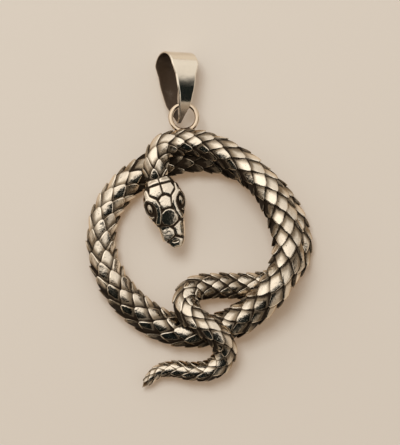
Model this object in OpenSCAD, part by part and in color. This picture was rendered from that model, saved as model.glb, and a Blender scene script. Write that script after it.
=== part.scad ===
// Snake pendant: a snake in oxidised silver, coiled twice round, with its head laid over the
// coil and its tail looped over the lower turn. A round wire ring is soldered to the top of
// the coil, and a folded bail hangs loose in it. The pendant lies on its back on the floor,
// which is z = 0, and the snake's own top points to +Y.

/* [Coil] */
// Width of the coil over its widest stretch
coil_w = 32; // [31:0.1:32.6]
// Fullness of the body against the diameters of the tables
body_fullness = 1; // [0.94:0.01:1.02]

/* [Scales] */
// Spacing of the scales along the body, in body diameters
scale_spacing = 0.83; // [0.78:0.01:0.9]
// Height of a scale's free edge over the body, in body diameters
scale_lip = 0.045; // [0.03:0.005:0.055]
// Depth of the groove between scales, in body diameters
groove_depth = 0.05; // [0.02:0.005:0.05]

/* [Head] */
// Length of the head from the collar to the nose
head_len = 9.3; // [9:0.1:9.8]
// Dip of the nose below the level
head_dip = 6; // [2:1:10]
// Height of the raised plates on the head
plate_rise = 0.18; // [0.1:0.01:0.24]

/* [Ring] */
// Bore of the soldered ring
ring_bore = 3.06; // [3:0.02:3.3]
// Wire of the soldered ring
ring_wire = 0.69; // [0.6:0.01:0.75]

/* [Bail] */
// Length of the bail from its tip to its fold
bail_len = 10.3; // [10.2:0.1:10.8]
// Width of the bail at its fold
bail_w = 4.5; // [4.3:0.05:4.7]
// Depth of the bail across its two leaves
bail_depth = 4.6; // [4.4:0.1:4.7]
// Thickness of the bail's sheet
bail_wall = 0.34; // [0.3:0.02:0.38]

/* [Hidden] */

// Columns of a station: plan position, height of the underside over the floor, diameter of
// the body, turn of the scale pattern about the body's axis, and the spacing of the scales
// against the rest of the body's
X = 0;
Y = 1;
LIFT = 2;
DIA = 3;
ROLL = 4;
STRETCH = 5;

// Columns of a station on the turns: bearing clockwise from the top, distance from the middle
// of the coil, then the other values as above
BEARING = 0;
RADIUS = 1;

NECK = [
    [-6.10, 4.60, 3.40, 3.05, -28, 1],
    [-6.15, 6.80, 3.55, 3.10, -28, 1],
    [-5.95, 8.90, 3.50, 3.10, -10, 1],
    [-4.90, 10.35, 3.20, 3.10, 0, 1],
    [-3.10, 10.90, 2.90, 3.10, 0, 1],
];

TURNS = [
    [-5, 13.60, 2.85, 3.15, 0, 1],
    [20, 12.45, 3.35, 3.30, 24, 1.25],
    [48, 11.75, 3.60, 3.55, 36, 1],
    [75, 12.00, 3.45, 3.80, 18, 1],
    [98, 12.60, 3.45, 3.85, 3, 1],
    [120, 12.65, 3.20, 3.85, 30, 1],
    [145, 12.70, 1.70, 3.85, 36, 1],
    [170, 13.20, 0.35, 3.85, 36, 1],
    [195, 13.55, 0.00, 3.90, 36, 1],
    [220, 13.55, 0.00, 3.90, 34, 1],
    [245, 13.85, 0.00, 3.80, 18, 1],
    [265, 14.05, 0.00, 3.60, 13, 1],
    [285, 13.80, 0.00, 3.55, 0, 1],
    [305, 13.00, 0.00, 3.65, -2, 1],
    [325, 12.20, 0.00, 3.70, 0, 1],
    [350, 11.60, 0.00, 3.60, 8, 1],
    [380, 11.60, 0.00, 3.55, 16, 1],
    [406, 11.95, 0.00, 3.55, 22, 1],
    [428, 12.85, 0.00, 3.55, 28, 1],
    [445, 13.75, 0.00, 3.50, 32, 1],
    [457, 14.15, 0.00, 3.45, 36, 1],
    [466, 13.85, 0.00, 3.40, 36, 1],
];

TAIL = [
    [11.90, -8.15, 0.00, 3.35, 36, 1],
    [9.80, -9.10, 0.10, 3.25, 36, 1],
    [6.50, -9.45, 0.20, 3.15, 36, 1],
    [1.80, -9.45, 0.40, 3.10, 36, 1],
    [-0.70, -9.85, 0.90, 3.15, 36, 1],
    [-1.90, -11.20, 1.90, 3.20, 36, 1],
    [-1.55, -13.00, 3.00, 3.05, 36, 1],
    [0.20, -14.55, 3.75, 2.90, 36, 1],
    [2.30, -16.10, 3.65, 2.85, 36, 1],
    [3.55, -18.10, 2.20, 2.90, 36, 1],
    [3.25, -20.00, 1.30, 2.85, 36, 1],
    [1.60, -21.35, 1.00, 2.60, 36, 1],
    [-0.90, -21.65, 0.90, 2.30, 36, 1],
    [-3.90, -21.30, 0.80, 2.00, 36, 1],
    [-5.90, -21.70, 0.70, 1.65, 36, 1],
    [-7.10, -22.75, 0.70, 1.10, 36, 1],
    [-8.15, -24.00, 0.80, 0.45, 36, 1],
];

// Middle of the coil in plan, and the plan's size against the tables, which are charted for
// a coil of the charted width
COIL_MIDDLE = [0, -2.6];
COIL_CHARTED = 32;
plan = coil_w / COIL_CHARTED;

// Step that brings the origin under the middle of the whole part, on the floor
ORIGIN_STEP = [0.07, 0.06, 0.025];

// Stations at which the body is cut into stretches that never meet themselves: one on the
// turns, where the back turn begins, and one on the tail, before its loop
BACK_TURN_ROW = 10;
TAIL_LOOP_ROW = 2;
back_turn_from = len(NECK) + BACK_TURN_ROW;
tail_from = len(NECK) + len(TURNS) + TAIL_LOOP_ROW;

function lifted(x, y, row) = [
    plan * x,
    plan * y,
    row[LIFT] + row[DIA] * body_fullness * (0.5 + scale_lip),
    row[DIA] * body_fullness,
    row[ROLL],
    row[STRETCH],
];

stations = concat(
    [for (r = NECK) lifted(r[X], r[Y], r)],
    [for (r = TURNS) lifted(
        COIL_MIDDLE[X] + r[RADIUS] * sin(r[BEARING]),
        COIL_MIDDLE[Y] + r[RADIUS] * cos(r[BEARING]),
        r
    )],
    [for (r = TAIL) lifted(r[X], r[Y], r)]
);
last_station = len(stations) - 1;

function place(v) = [v[0], v[1], v[2]];
function unit(v) = v / norm(v);
function span(i) = norm(place(stations[i + 1]) - place(stations[i]));

// Length along the body at each station
lengths = [
    for (i = 0, s = 0; i <= last_station; s = i < last_station ? s + span(i) : s, i = i + 1) s
];
body_len = lengths[last_station];

// Rate of change of a station's values along the body
function rate(i) =
    i == 0 ? (stations[1] - stations[0]) / span(0) :
    i == last_station ? (stations[i] - stations[i - 1]) / span(i - 1) :
    let (before = span(i - 1), after = span(i))
    (before * (stations[i + 1] - stations[i]) / after
        + after * (stations[i] - stations[i - 1]) / before) / (before + after);

rates = [for (i = [0:last_station]) rate(i)];

function station_before(s) = max([for (i = [0:last_station - 1]) if (i == 0 || lengths[i] <= s) i]);

// Values of a station at the length s along the body, on one smooth curve
function body_at(s) =
    let (
        i = station_before(s),
        h = lengths[i + 1] - lengths[i],
        t = (s - lengths[i]) / h
    )
    (1 + 2 * t) * (1 - t) * (1 - t) * stations[i]
        + t * t * (3 - 2 * t) * stations[i + 1]
        + h * t * (1 - t) * ((1 - t) * rates[i] - t * rates[i + 1]);

probe = 0.01;
function heading(s) = unit(
    place(body_at(min(s + probe, body_len))) - place(body_at(max(s - probe, 0)))
);

// Point at the length s, the angle a round the body from its top, and the height rise over
// the mean surface, in body diameters
function skin_point(s, a, rise) =
    let (
        b = body_at(s),
        forward = heading(s),
        left = unit(cross([0, 0, 1], forward)),
        top = cross(forward, left)
    )
    place(b) + b[DIA] * (0.5 + rise) * (cos(a + b[ROLL]) * top + sin(a + b[ROLL]) * left);

// Scales: each is a lozenge between two grooves, tucked under the one before it at its front
// and free at its rear. Half rows are set over by half a scale.
scales_round = 5;
mean_drop = 0.025;
scale_crown = 0.01;
scale_front = -0.02;
scale_half_angle = 180 / scales_round;
inner_angle = 0.84 * scale_half_angle;
free_end = 0.86;
tucked_end = 0.8;
finest_dia = 1.1;
smooth_tip_len = 0.25;

function row_step(here) = scale_spacing / 2 * max(here[DIA], finest_dia) * here[STRETCH];

half_rows = [for (s = 0; s < body_len - smooth_tip_len; s = s + row_step(body_at(s))) s];
last_row = len(half_rows) - 1;

function row_of(s) = min([for (i = [0:last_row]) if (half_rows[i] >= s || i == last_row) i]);
function along(i, part) = half_rows[i] + part * (half_rows[i + 1] - half_rows[i]);
function scale_angle(i, j) = (2 * j + i % 2) * scale_half_angle;

function row_points(i) = [
    for (j = [0:scales_round - 1])
        let (a = scale_angle(i, j), s = half_rows[i])
        each [
            skin_point(s, a - inner_angle, -mean_drop),
            skin_point(s, a, scale_crown),
            skin_point(s, a + inner_angle, -mean_drop),
            skin_point(s, a + scale_half_angle, -groove_depth),
        ]
];

function band_points(i) = concat(
    [for (j = [0:scales_round - 1]) skin_point(along(i, free_end), scale_angle(i, j), scale_lip)],
    [for (j = [0:scales_round - 1])
        skin_point(along(i, 1 - tucked_end), scale_angle(i + 1, j), scale_front)]
);

// Places of a scale's points in the list of a stretch, where i counts half rows of the stretch
row_size = 4 * scales_round;
band_size = 2 * scales_round;
block = row_size + band_size;
function ring_id(i, k) = i * block + (k + row_size) % row_size;
function left_id(i, j) = ring_id(i, 4 * j);
function crown_id(i, j) = ring_id(i, 4 * j + 1);
function right_id(i, j) = ring_id(i, 4 * j + 2);
function groove_id(i, j) = ring_id(i, 4 * j + 3);
function free_id(i, j) = i * block + row_size + j;
function tucked_id(i, j) = (i - 1) * block + row_size + scales_round + j;

function rear_faces(i, j, odd) =
    let (
        c = crown_id(i, j), l = left_id(i, j), r = right_id(i, j), f = free_id(i, j),
        gl = groove_id(i, j - 1), gr = groove_id(i, j), gb = groove_id(i + 1, j - 1 + odd)
    )
    [[c, r, f], [c, f, l], [r, gr, gb], [r, gb, f], [l, f, gb], [l, gb, gl]];

function front_faces(i, j, odd) =
    let (
        c = crown_id(i, j), l = left_id(i, j), r = right_id(i, j), f = tucked_id(i, j),
        gl = groove_id(i, j - 1), gr = groove_id(i, j), gf = groove_id(i - 1, j - 1 + odd)
    )
    [[c, l, f], [c, f, r], [l, gl, gf], [l, gf, f], [r, f, gf], [r, gf, gr]];

// A closed stretch of scaled body between two half rows, ending in a point if tip is true
module stretch(first, last, tip = false) {
    count = last - first;
    head_end = count * block + row_size;
    tail_end = head_end + 1;
    end_s = tip ? body_len : half_rows[last];
    points = concat(
        [for (i = [first:last]) each concat(row_points(i), i < last ? band_points(i) : [])],
        [place(body_at(half_rows[first])), place(body_at(end_s))]
    );
    faces = concat(
        [for (i = [0:count - 1], j = [0:scales_round - 1]) each concat(
            rear_faces(i, j, (i + first) % 2),
            front_faces(i + 1, j, (i + 1 + first) % 2)
        )],
        [for (k = [0:row_size - 1]) each [
            [head_end, ring_id(0, k + 1), ring_id(0, k)],
            [tail_end, ring_id(count, k), ring_id(count, k + 1)],
        ]]
    );
    polyhedron(points = points, faces = faces, convexity = 6);
}

// Head: its own axis runs from the collar to the nose, with z to its crown
HEAD_CHARTED = 9.4;
head_size = head_len / HEAD_CHARTED;
HEAD_ROOT = [-5.82, 5.30, 4.95];
head_turn = -73.5;
head_lean = -6;

// Columns of a head section: distance from the collar, half width, height of the crown and
// depth of the jaw from the axis
ALONG = 0;
HALF_W = 1;
CROWN = 2;
JAW = 3;
HEAD_SECTIONS = [
    [-1.20, 1.35, 1.30, 1.30],
    [0.00, 2.00, 1.60, 1.50],
    [1.20, 2.60, 1.75, 1.60],
    [2.60, 3.00, 1.75, 1.65],
    [3.80, 2.94, 1.65, 1.60],
    [5.20, 2.42, 1.40, 1.50],
    [6.60, 1.80, 1.10, 1.35],
    [8.00, 1.45, 0.80, 1.10],
    [8.90, 1.10, 0.50, 0.85],
    [9.40, 0.55, 0.15, 0.50],
];
head_sides = 20;
head_fullness = 2.4;

function swell(v) = sign(v) * pow(abs(v), 2 / head_fullness);

function head_ring(row, skin) = [
    for (k = [0:head_sides - 1])
        let (a = 360 * k / head_sides)
        [
            row[ALONG] + (row[ALONG] > HEAD_SECTIONS[1][ALONG] ? skin : 0),
            (row[HALF_W] + skin) * swell(cos(a)),
            (sin(a) > 0 ? row[CROWN] + skin : row[JAW] + skin) * swell(sin(a)),
        ]
];

module head_form(skin) {
    rows = len(HEAD_SECTIONS);
    points = [for (row = HEAD_SECTIONS) each head_ring(row, skin)];
    sides = [
        for (i = [0:rows - 2], k = [0:head_sides - 1])
            let (n = (k + 1) % head_sides)
            [
                i * head_sides + k,
                (i + 1) * head_sides + k,
                (i + 1) * head_sides + n,
                i * head_sides + n,
            ]
    ];
    ends = [
        [for (k = [0:head_sides - 1]) k],
        [for (k = [0:head_sides - 1]) rows * head_sides - 1 - k],
    ];
    polyhedron(points = points, faces = concat(sides, ends), convexity = 4);
}

// Height that clears the crown everywhere
over_crown = 4;

// Outlines of the plates on one half of the crown, from above, clear of the middle line
PARIETAL = [[0.35, 0.15], [0.42, 1.50], [1.25, 1.80], [2.00, 0.98], [1.52, 0.15]];
NASAL = [[6.72, 0.15], [6.25, 1.15], [6.95, 1.80], [8.05, 1.70], [7.55, 0.15]];
// Outlines of the plates that cross the middle line
FRONTAL = [[2.00, -0.30], [2.00, 0.30], [2.45, 0.80], [3.62, 0.66], [3.62, -0.66], [2.45, -0.80]];
PREFRONTAL = [
    [3.92, -0.3], [3.92, 0.3], [4.30, 0.85], [5.25, 1.20], [5.85, 1.00], [6.28, 0.2], [6.28, -0.2],
    [5.85, -1.00], [5.25, -1.20], [4.30, -0.85],
];
ROSTRAL = [[7.88, 0], [8.45, 1.00], [9.30, 0.90], [9.80, 0], [9.30, -0.90], [8.45, -1.00]];

module plate(outline) {
    intersection() {
        head_form(plate_rise);
        linear_extrude(height = over_crown) polygon(outline);
    }
}

// Brow ridge: a raised band from the corner of the jaw, over the eye, to the nose. Columns of
// a point: distance from the collar, distance from the middle line and height over the axis
BROW = [
    [0.90, 2.30, 1.02],
    [1.75, 2.15, 1.20],
    [2.40, 1.45, 1.50],
    [3.20, 1.15, 1.42],
    [4.30, 1.25, 1.22],
    [5.40, 1.62, 0.86],
];
brow_band = 0.32;
brow_sides = 8;
eye_at = [3.25, 2.25, 0.95];
eye_len = 1.5;
eye_r = 0.42;
eye_sides = 12;

module brow() {
    for (i = [0:len(BROW) - 2]) {
        hull() {
            for (k = [i, i + 1]) {
                translate(BROW[k]) sphere(r = brow_band, $fn = brow_sides);
            }
        }
    }
}

module eye() {
    translate(eye_at) scale([eye_len / 2 / eye_r, 1, 1]) sphere(r = eye_r, $fn = eye_sides);
}

module head() {
    translate([plan * HEAD_ROOT[X], plan * HEAD_ROOT[Y], HEAD_ROOT[2]])
    rotate([0, 0, head_turn])
    rotate([head_lean, head_dip, 0])
    scale(head_size) {
        head_form(0);
        for (outline = [FRONTAL, PREFRONTAL, ROSTRAL]) {
            plate(outline);
        }
        for (side = [0, 1]) {
            mirror([0, side, 0]) {
                plate(PARIETAL);
                plate(NASAL);
                brow();
                eye();
            }
        }
    }
}

// Soldered ring: it stands on the outside of the front turn, a little sunk into it
ring_bearing = -7.4;
ring_sink = 0.14;
ring_z = 3.6;
ring_sides = 16;
wire_sides = 6;
solder_r = 0.42;
solder_depth = 0.9;
solder_rise = 0.45;
solder_sides = 8;
ring_r = (ring_bore + ring_wire) / 2;
ring_outward = [sin(ring_bearing), cos(ring_bearing)];
ring_seat = TURNS[0][RADIUS] + TURNS[0][DIA] / 2;
ring_reach = ring_r + ring_wire / 2 - ring_sink;
ring_plan = plan * (COIL_MIDDLE + ring_seat * ring_outward) + ring_reach * ring_outward;
ring_at = [ring_plan[X], ring_plan[Y], ring_z];

module ring() {
    translate(ring_at)
    rotate_extrude($fn = ring_sides)
    translate([ring_r, 0])
    circle(r = ring_wire / 2, $fn = wire_sides);
}

// Solder between the ring's foot and the body
module ring_solder() {
    inward = [-ring_outward[X], -ring_outward[Y], 0];
    hull() {
        translate(ring_at + ring_r * inward) sphere(r = solder_r, $fn = solder_sides);
        translate(ring_at + (ring_r + solder_depth) * inward + [0, 0, solder_rise])
            sphere(r = solder_r, $fn = solder_sides);
    }
}

// Metal that joins the tail to the turn that it crosses, hidden between the two
joint_at = [2.1, -15.75, 3.95];
joint_size = [2.8, 2.2, 1];
joint_sides = 10;

module tail_joint() {
    translate([plan * joint_at[X], plan * joint_at[Y], joint_at[2]])
    scale(joint_size / 2)
    sphere(r = 1, $fn = joint_sides);
}

module snake() {
    back_row = row_of(lengths[back_turn_from]);
    tail_row = row_of(lengths[tail_from]);
    color("silver") translate(ORIGIN_STEP) {
        stretch(0, back_row);
        stretch(back_row, tail_row);
        stretch(tail_row, last_row, tip = true);
        head();
        ring();
        ring_solder();
        tail_joint();
    }
}

// Bail: its own y runs from the tip to the fold, x across the strip, z through the leaves
bail_lean = 2.2;
bail_twist = 34;
bail_slope = 2.5;
bail_aside = -0.8;
bail_slack = 0.09;
bail_drop = -0.18;
bail_leaf_r = 7.2;
bail_wire_h = 2.9;
round_sides = 96;
overlap = 0.01;
fold_r = bail_depth / 2;
leaf_middle = bail_leaf_r - fold_r;
leaf_top = sqrt(bail_leaf_r * bail_leaf_r - leaf_middle * leaf_middle);

// Edge of the strip, from below the tip to above the fold. Columns of a point: height over
// the tip, and half of the strip's width there
BAIL_EDGE = [
    [-1, 0.2],
    [0.2, 0.3],
    [1.2, 0.48],
    [2.6, 0.97],
    [4, 1.17],
    [5.4, bail_w / 2 - 0.75],
    [6.8, bail_w / 2 - 0.52],
    [8.4, bail_w / 2],
    [bail_len + 1, bail_w / 2],
];

// Side view of the bail's outside, made smaller all round by inset
module bail_side(inset) {
    translate([0, bail_len - fold_r]) circle(r = fold_r - inset, $fn = round_sides);
    translate([inset - fold_r, leaf_top]) square([2 * (fold_r - inset), bail_len - fold_r - leaf_top]);
    intersection() {
        translate([-leaf_middle, leaf_top]) circle(r = bail_leaf_r - inset, $fn = round_sides);
        translate([leaf_middle, leaf_top]) circle(r = bail_leaf_r - inset, $fn = round_sides);
        translate([-fold_r, 0]) square([2 * fold_r, leaf_top + overlap]);
    }
}

module bail_front() {
    last = len(BAIL_EDGE) - 1;
    polygon(concat(
        [for (i = [0:last]) [BAIL_EDGE[i][1], BAIL_EDGE[i][0]]],
        [for (i = [0:last]) [-BAIL_EDGE[last - i][1], BAIL_EDGE[last - i][0]]]
    ));
}

module bail_strip() {
    intersection() {
        rotate([90, 0, 90])
        translate([0, 0, -bail_w])
        linear_extrude(height = 2 * bail_w)
        rotate([0, 0, -90])
        difference() {
            bail_side(0);
            bail_side(bail_wall);
        }
        translate([0, 0, -bail_depth]) linear_extrude(height = 2 * bail_depth) bail_front();
    }
}

module bail() {
    color("gainsboro")
    translate(ORIGIN_STEP + ring_at + [bail_aside, ring_r + bail_slack, bail_drop])
    rotate([-bail_slope, 0, bail_lean])
    rotate([0, bail_twist, 0])
    translate([0, -bail_wire_h, 0])
    bail_strip();
}

snake();
bail();
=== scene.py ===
"""Looks of the snake pendant: a coiled snake cast in silver, oxidised in its grooves and rubbed
bright on its scales, with a soldered ring and a folded bail. Sizes are in millimetres until a
mesh is made, and the frame is the one of the construction model."""

from __future__ import annotations

import logging
import math
from collections.abc import Callable
from dataclasses import dataclass, field
from enum import Enum
from typing import ClassVar, NamedTuple

import bpy
import numpy as np
from mathutils import Matrix, Vector

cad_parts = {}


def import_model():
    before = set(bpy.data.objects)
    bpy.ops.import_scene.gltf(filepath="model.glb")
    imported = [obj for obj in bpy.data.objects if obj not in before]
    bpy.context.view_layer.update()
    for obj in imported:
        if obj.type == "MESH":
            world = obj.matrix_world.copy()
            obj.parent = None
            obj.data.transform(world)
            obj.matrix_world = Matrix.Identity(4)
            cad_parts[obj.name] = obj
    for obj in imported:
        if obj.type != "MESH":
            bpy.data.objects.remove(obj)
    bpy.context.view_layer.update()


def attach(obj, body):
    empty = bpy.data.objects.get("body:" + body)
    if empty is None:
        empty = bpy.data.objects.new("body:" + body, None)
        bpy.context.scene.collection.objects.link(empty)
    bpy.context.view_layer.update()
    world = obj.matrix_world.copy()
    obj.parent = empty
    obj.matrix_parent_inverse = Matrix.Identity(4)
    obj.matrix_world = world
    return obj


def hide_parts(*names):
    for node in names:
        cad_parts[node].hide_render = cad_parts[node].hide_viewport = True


LOG = logging.getLogger("snake_pendant")
MM = 0.001
BODY = "root"
# Mark of oxide depth, which on the body, ring and bail also holds painted shade.
PATINA_AND_SHADE = "patina"
TONE = "tone"
ROUND = 2 * math.pi
UP = np.array([0.0, 0.0, 1.0])
NEARLY_ZERO = 1e-9

Array = np.ndarray
Piece = bpy.types.Object
Pair = tuple[float, float]
Triple = tuple[float, float, float]


class Slot(Enum):
    """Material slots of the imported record."""

    OXIDISED = "oxidised_silver"
    POLISHED = "polished_silver"


class Node(Enum):
    """Solids of the construction model that the pieces stand for."""

    SNAKE = "snake"
    BAIL = "bail"


# Shader maths


class Grain(NamedTuple):
    """Noise with features of one size: the size, how many finer layers lie on it, how strong they
    are, and a seed that picks one such noise."""

    size_mm: float
    layers: float
    strength: float = 0.5
    seed: float = 0.0

    def sockets(self) -> dict[str, float]:
        """Values of the noise node's sockets."""
        scale = 1 / (self.size_mm * MM)
        return {"W": self.seed, "Scale": scale, "Detail": self.layers, "Roughness": self.strength}


class Bump(NamedTuple):
    """Relief of a shader: what a height of 1 stands for, and the share of its effect."""

    depth_mm: float
    strength: float


def operator(operation: str, swapped: bool = False) -> Callable[[Wire, Wire | float], Wire]:
    """Makes an operator of wires.

    Args:
        operation: name of the operation, as Blender's nodes have it.
        swapped: whether the wire is the right operand.

    Returns:
        The operator, which adds the operation's node.
    """

    def joined(wire: Wire, other: Wire | float) -> Wire:
        """The result's wire."""
        return wire.shader.maths(operation, *((other, wire) if swapped else (wire, other)))

    return joined


class Wire:
    """An output of a shader node, on which sums are written as Python expressions."""

    def __init__(self, shader: Shader, socket: bpy.types.NodeSocket) -> None:
        """Keeps the shader that the socket belongs to."""
        self.shader = shader
        self.socket = socket

    __add__, __radd__ = operator("ADD"), operator("ADD", True)
    __sub__, __rsub__ = operator("SUBTRACT"), operator("SUBTRACT", True)
    __mul__, __rmul__ = operator("MULTIPLY"), operator("MULTIPLY", True)
    __truediv__, __pow__ = operator("DIVIDE"), operator("POWER")
    at_least = operator("MAXIMUM")

    def clamped(self) -> Wire:
        """The number held between 0 and 1."""
        settings = {"operation": "ADD", "use_clamp": True}
        return self.shader.node("ShaderNodeMath", settings, {0: self, 1: 0.0})

    def swing(self, reach: float) -> Wire:
        """Noise from 0 to 1, turned into a swing about 0."""
        return (self - 0.5) * reach


class Shader:
    """A node tree that is being built, for a material or for the surroundings."""

    def __init__(self, tree: bpy.types.NodeTree) -> None:
        """Empties the tree."""
        self.tree = tree
        tree.nodes.clear()

    def node(
        self, kind: str, settings: dict | None = None, sockets: dict | None = None, output: str | int = 0
    ) -> Wire:
        """Adds a node and gives one of its outputs.

        Args:
            kind: the node's type.
            settings: the node's own properties, set before its sockets.
            sockets: values or wires by the input's name or number.
            output: name or number of the output.

        Returns:
            The output's wire.
        """
        made = self.tree.nodes.new(kind)
        for name, value in (settings or {}).items():
            setattr(made, name, value)
        for key, value in (sockets or {}).items():
            if isinstance(value, Wire):
                self.tree.links.new(value.socket, made.inputs[key])
            else:
                made.inputs[key].default_value = value
        return Wire(self, made.outputs[output])

    def mix(
        self, share: Wire | float, first: Wire | Triple, second: Wire | Triple, blend: str = "MIX"
    ) -> Wire:
        """Mixes two colours, which the node takes on its inputs 6 and 7 and gives on output 2.

        Args:
            share: 0 gives the first colour and 1 the second.
            first: a colour or its wire.
            second: a colour or its wire.
            blend: how they meet, as Blender names it.

        Returns:
            The mixed colour.
        """
        first, second = (c if isinstance(c, Wire) else (*c, 1.0) for c in (first, second))
        settings = {"data_type": "RGBA", "blend_type": blend, "clamp_factor": True}
        return self.node("ShaderNodeMix", settings, {0: share, 6: first, 7: second}, 2)

    def maths(self, operation: str, first: Wire | float, second: Wire | float) -> Wire:
        """Joins two numbers, or two colours where the first is a colour's wire.

        Args:
            operation: name of the operation, as Blender's nodes have it.
            first: left operand.
            second: right operand.

        Returns:
            The result.
        """
        if isinstance(first, Wire) and first.socket.type == "RGBA":
            return self.mix(1.0, first, second, operation)
        return self.node("ShaderNodeMath", {"operation": operation}, {0: first, 1: second})

    def between(self, share: Wire, low: float, high: float) -> Wire:
        """A number that runs from low to high as share runs from 0 to 1."""
        return low + share * (high - low)

    def step(self, value: Wire, low: float, high: float) -> Wire:
        """0 at low, 1 at high, and a smooth change between the two."""
        sockets = {"Value": value, "From Min": low, "From Max": high}
        return self.node("ShaderNodeMapRange", {"interpolation_type": "SMOOTHSTEP"}, sockets)

    def mark(self, name: str) -> Wire:
        """A value that the mesh carries at each point."""
        return self.node("ShaderNodeAttribute", {"attribute_name": name}, output="Fac")

    def grain(self, grain: Grain) -> Wire:
        """Noise from 0 to 1 that is fixed to the piece."""
        sockets = {"Vector": self.node("ShaderNodeTexCoord", output="Object"), **grain.sockets()}
        return self.node("ShaderNodeTexNoise", {"noise_dimensions": "4D"}, sockets)

    def bump(self, height: Wire, bump: Bump, **under: Wire) -> Wire:
        """Normal that heights from 0 to 1 give, on top of one that is given as Normal."""
        sockets = {"Strength": bump.strength, "Distance": bump.depth_mm * MM, "Height": height}
        return self.node("ShaderNodeBump", None, sockets | under)

    def finish(self, surface: Wire, kind: str = "ShaderNodeOutputMaterial") -> None:
        """Joins the finished surface to the tree's output node."""
        self.tree.links.new(surface.socket, self.tree.nodes.new(kind).inputs["Surface"])


# Finishes


@dataclass(frozen=True)
class Finish:
    """A finish that is one Principled shader."""

    name: str

    def sockets(self, sh: Shader) -> dict[str, object]:
        """Values and wires of the shader's sockets, by their names."""
        raise NotImplementedError

    def material(self) -> bpy.types.Material:
        """Builds the material.

        Returns:
            The material.
        """
        material = bpy.data.materials.new(self.name)
        material.use_nodes = True
        sh = Shader(material.node_tree)
        sh.finish(sh.node("ShaderNodeBsdfPrincipled", None, self.sockets(sh)))
        return material


@dataclass(frozen=True)
class OxidisedSilver(Finish):
    """Cast silver that was darkened and then rubbed bright where it stands proud. A fine speckle
    and clouds, in this order in a pair, make its stains ragged and its gloss uneven."""

    name: str = "oxidised_silver"
    bright: Triple = (0.97, 0.875, 0.74)
    tarnished: Triple = (0.25, 0.195, 0.135)
    oxide: Triple = (0.014, 0.009, 0.0055)
    oxide_metallic: float = 0.1
    gloss: float = 0.2
    tint: Triple = (1.0, 0.84, 0.66)
    smooth: float = 0.17
    rough: float = 0.72
    uneven: Pair = (0.1, 0.0)
    speckle: Grain = Grain(0.22, 3.0, 0.6)
    clouds: Grain = Grain(1.3, 2.0, 0.55, 3.0)
    dark_from: Pair = (0.56, 0.94)
    dark_ragged: Pair = (0.34, 0.25)
    spots: Grain = Grain(0.4, 1.0, 0.4, 13.0)
    spots_from: Pair = (0.70, 0.76)
    spots_dark: float = 0.8
    stain_from: Pair = (0.02, 0.66)
    stain_ragged: float = 0.7
    stain_depth: float = 0.85
    tone_depth: float = 0.3
    ripple: Grain = Grain(0.42, 2.0, 0.45, 7.0)
    ripple_bump: Bump = Bump(0.092, 0.55)
    pits: Grain = Grain(0.09, 1.0, 0.5, 11.0)
    pits_bump: Bump = Bump(0.023, 0.35)

    def sockets(self, sh: Shader) -> dict[str, object]:
        """Values and wires of the shader's sockets.

        Args:
            sh: shader to build in.

        Returns:
            The values and wires, by the sockets' names.
        """
        # The patina mark carries oxide and, on the body, ring and bail, painted shade as well.
        patina = sh.mark(PATINA_AND_SHADE)
        speckle, clouds = sh.grain(self.speckle), sh.grain(self.clouds)
        edge = speckle.swing(self.dark_ragged[0]) + clouds.swing(self.dark_ragged[1])
        spots = sh.step(sh.grain(self.spots), *self.spots_from) * self.spots_dark
        dark = (sh.step(patina + edge, *self.dark_from) + spots).clamped()
        stain = sh.step(patina + clouds.swing(self.stain_ragged), *self.stain_from)
        stain = (stain * self.stain_depth + sh.mark(TONE) * self.tone_depth).clamped()
        metal = sh.mix(stain, self.bright, self.tarnished)
        uneven = speckle.swing(self.uneven[0]) + clouds.swing(self.uneven[1])
        ripple = sh.bump(sh.grain(self.ripple), self.ripple_bump)
        return {
            "Base Color": sh.mix(dark, metal, self.oxide),
            "Metallic": sh.between(dark, 1.0, self.oxide_metallic),
            "Specular IOR Level": self.gloss,
            "Specular Tint": (*self.tint, 1.0),
            "Roughness": sh.between(dark, self.smooth, self.rough) + uneven,
            "Normal": sh.bump(sh.grain(self.pits), self.pits_bump, Normal=ripple),
        }


@dataclass(frozen=True)
class PolishedSilver(OxidisedSilver):
    """Sheet and wire of polished silver, slightly wavy, with fine wear, slightly tarnished."""

    name: str = "polished_silver"
    bright: Triple = (0.96, 0.88, 0.75)
    tarnished: Triple = (0.55, 0.42, 0.31)
    oxide: Triple = (0.055, 0.034, 0.020)
    oxide_metallic: float = 0.5
    gloss: float = 0.5
    tint: Triple = (1.0, 1.0, 1.0)
    smooth: float = 0.1
    rough: float = 0.42
    uneven: Pair = (0.0, 0.08)
    speckle: Grain = Grain(0.16, 2.0, 0.5, 9.0)
    clouds: Grain = Grain(1.6, 3.0, 0.55, 5.0)
    dark_from: Pair = (0.6, 0.95)
    dark_ragged: Pair = (0.1, 0.25)
    spots_dark: float = 0.0
    stain_from: Pair = (0.05, 0.7)
    stain_ragged: float = 0.5
    stain_depth: float = 0.6
    tone_depth: float = 0.0
    ripple: Grain = Grain(1.1, 1.0, 0.4, 2.0)
    ripple_bump: Bump = Bump(0.02, 0.5)
    pits: Grain = Grain(0.16, 2.0, 0.5, 9.0)
    pits_bump: Bump = Bump(0.003, 0.4)


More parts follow.
